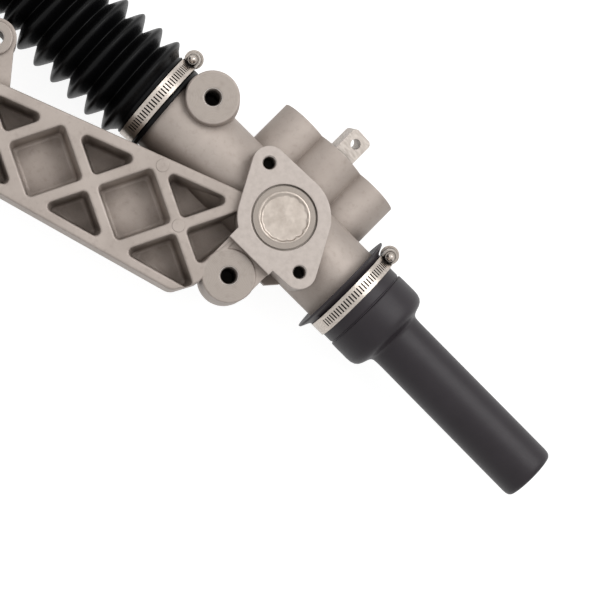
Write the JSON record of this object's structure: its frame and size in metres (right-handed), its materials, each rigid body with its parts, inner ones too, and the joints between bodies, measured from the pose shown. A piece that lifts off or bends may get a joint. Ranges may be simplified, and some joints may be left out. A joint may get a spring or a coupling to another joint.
{
  "type": "rack and pinion steering gear",
  "caption": "Manual rack and pinion steering gear: cast housing with a lattice mounting arm, a bellows over the driven end and a closed cover over the toothed end.",
  "frame": {"origin": "centre of the machined front flange's face, on the axis of the yoke plug", "axes": "+X along the rack towards the closed cover, +Y along the pinion towards the steering input, +Z out of the front flange"},
  "size_m": [0.5577, 0.1995, 0.0741],
  "materials": {
    "cast_aluminium": "die cast, fine grained, satin",
    "machined_aluminium": "turned, bright",
    "ground_steel": "ground",
    "zinc_steel": "zinc plated, pressed",
    "bronze": "plain bearing bronze",
    "stop_rubber": "matte",
    "black_rubber": "satin",
    "cover_rubber": "satin",
    "yoke_metal": "sintered, matte",
    "liner_plastic": "smooth",
    "stainless_band": "bright stainless"
  },
  "bodies": {
    "housing": {"rack_housing": "cast_aluminium", "rack_bush_left": "bronze", "rack_bush_right": "bronze", "bearing_outer_ring": "ground_steel", "needle_cup": "ground_steel", "needle_rollers": "ground_steel", "pinion_end_cap": "zinc_steel", "bearing_circlip": "ground_steel", "pinion_seal": "black_rubber", "yoke": "yoke_metal", "yoke_liner": "liner_plastic", "yoke_o_ring": "black_rubber", "yoke_spring": "ground_steel", "yoke_plug": "machined_aluminium", "plug_cap": "zinc_steel", "bellows_boot": "black_rubber", "clamp_band_left": "stainless_band", "clamp_housing_left": "stainless_band", "clamp_screw_left": "stainless_band", "end_cover": "cover_rubber", "clamp_band_right": "stainless_band", "clamp_housing_right": "stainless_band", "clamp_screw_right": "stainless_band"},
    "rack": {"rack_bar": "ground_steel", "rack_stop_left": "stop_rubber", "rack_stop_right": "stop_rubber", "bellows_clip": "stainless_band"},
    "pinion": {"pinion_shaft": "ground_steel", "bearing_inner_ring": "ground_steel", "bearing_balls": "ground_steel", "bearing_cage": "bronze"}
  },
  "joints": [
    {"name": "rack_slide", "type": "slide", "parent": "housing", "child": "rack", "axis": [1, 0, 0], "range_m": [-0.066, 0.066], "deforming": ["bellows_boot"]},
    {"name": "pinion_turn", "type": "hinge", "parent": "housing", "child": "pinion", "pos_m": [-0.0014, 0, -0.05359], "axis": [0, 1, 0], "range_deg": [-500, 500]}
  ],
  "couplings": [
    {"joint": "pinion_turn", "follows": "rack_slide", "rad_per_m": 131.58}
  ]
}
